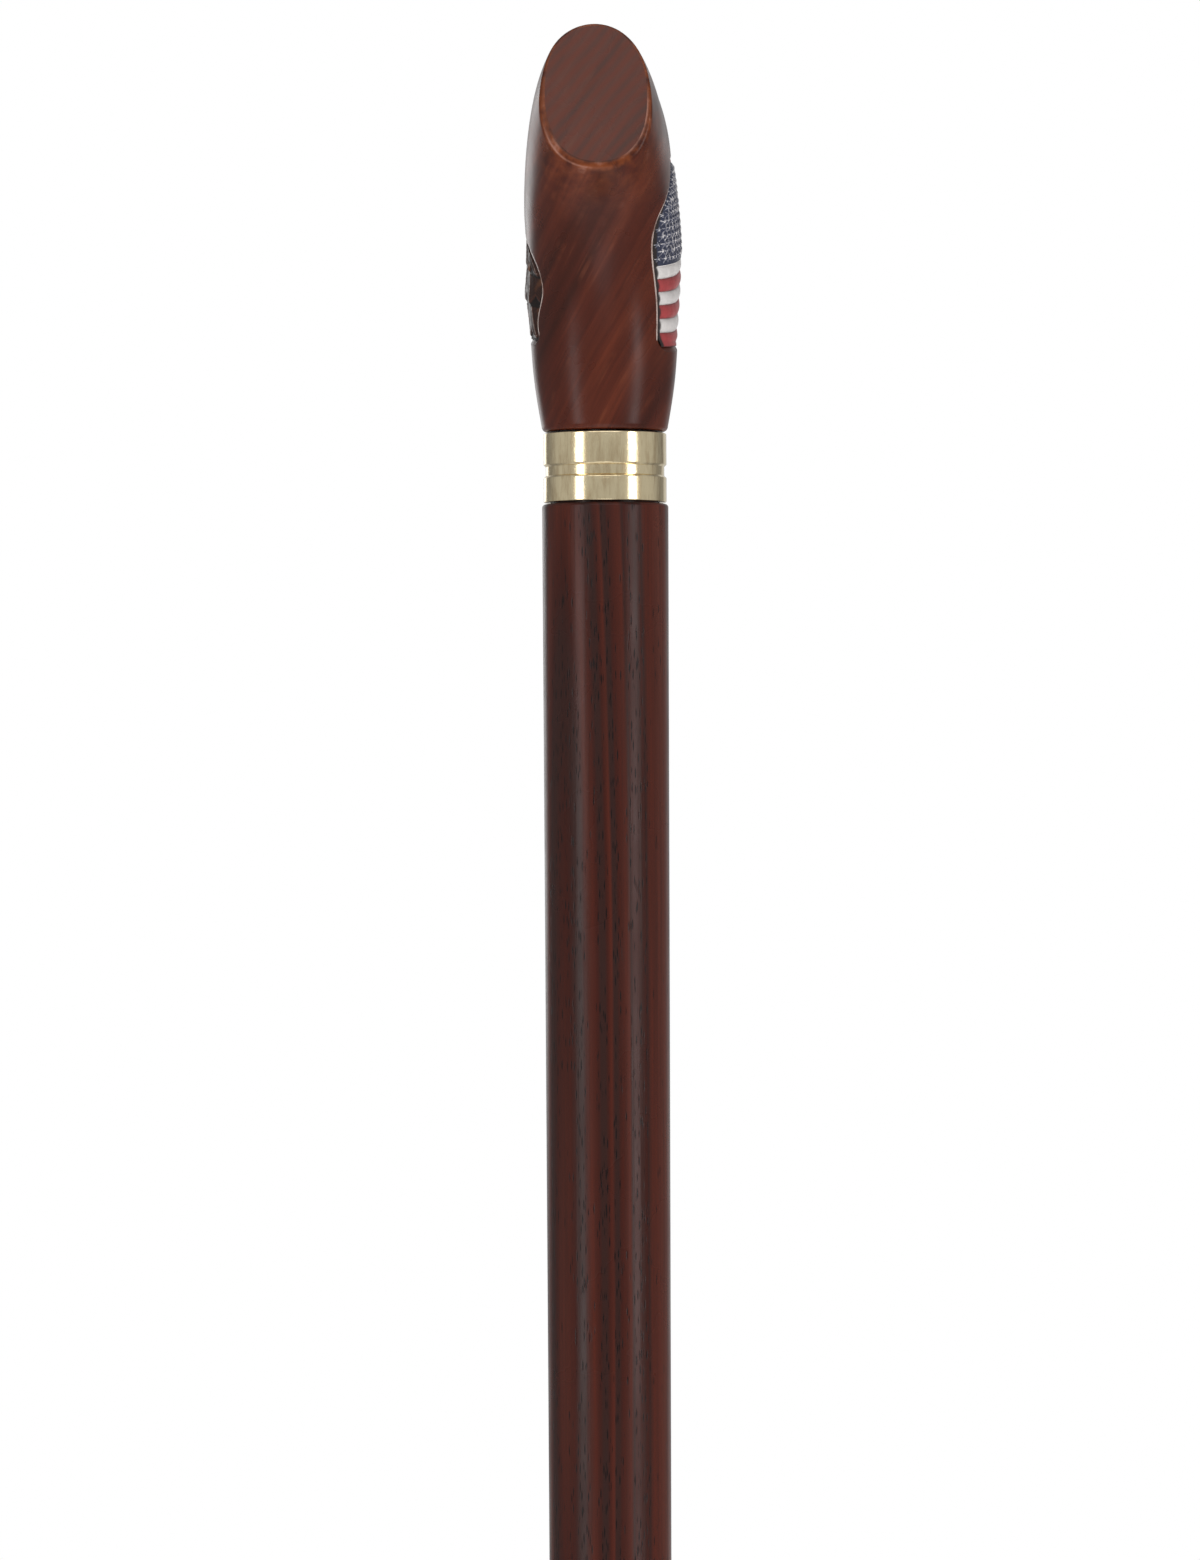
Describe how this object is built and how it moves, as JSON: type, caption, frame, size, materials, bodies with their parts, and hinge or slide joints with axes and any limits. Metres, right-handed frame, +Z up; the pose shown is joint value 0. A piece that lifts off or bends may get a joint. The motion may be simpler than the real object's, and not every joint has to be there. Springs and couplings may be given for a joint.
{
  "type": "walking cane",
  "caption": "Wooden walking cane with a carved derby handle, a relief set in each side, a grooved brass collar, a tapered shaft and a push-fit rubber tip.",
  "frame": {"origin": "middle of the rubber tip's sole, on the shaft's axis", "axes": "+Z up the shaft, -Y the way the handle's nose points, +X the side of the flag relief"},
  "size_m": [0.036, 0.1236, 0.9144],
  "materials": {
    "handle_wood": "satin lacquer over red-brown stain",
    "shaft_wood": "satin lacquer over dark red-brown stain, open pores",
    "brass": "turned, satin polished",
    "steel": "zinc plated",
    "rubber": "matt moulded",
    "flag_paint": "cast resin, hand painted",
    "wing_paint": "cast resin, hand painted"
  },
  "bodies": {
    "cane": {"handle": "handle_wood", "flag_inlay": "flag_paint", "wing_inlay": "wing_paint", "collar": "brass", "shaft": "shaft_wood", "joining_stud": "steel"},
    "tip": {"rubber_tip": "rubber", "tip_washer": "steel"}
  },
  "joints": [
    {"name": "tip_slide", "type": "slide", "parent": "cane", "child": "tip", "axis": [0, 0, -1], "range_m": [0, 0.034]}
  ]
}
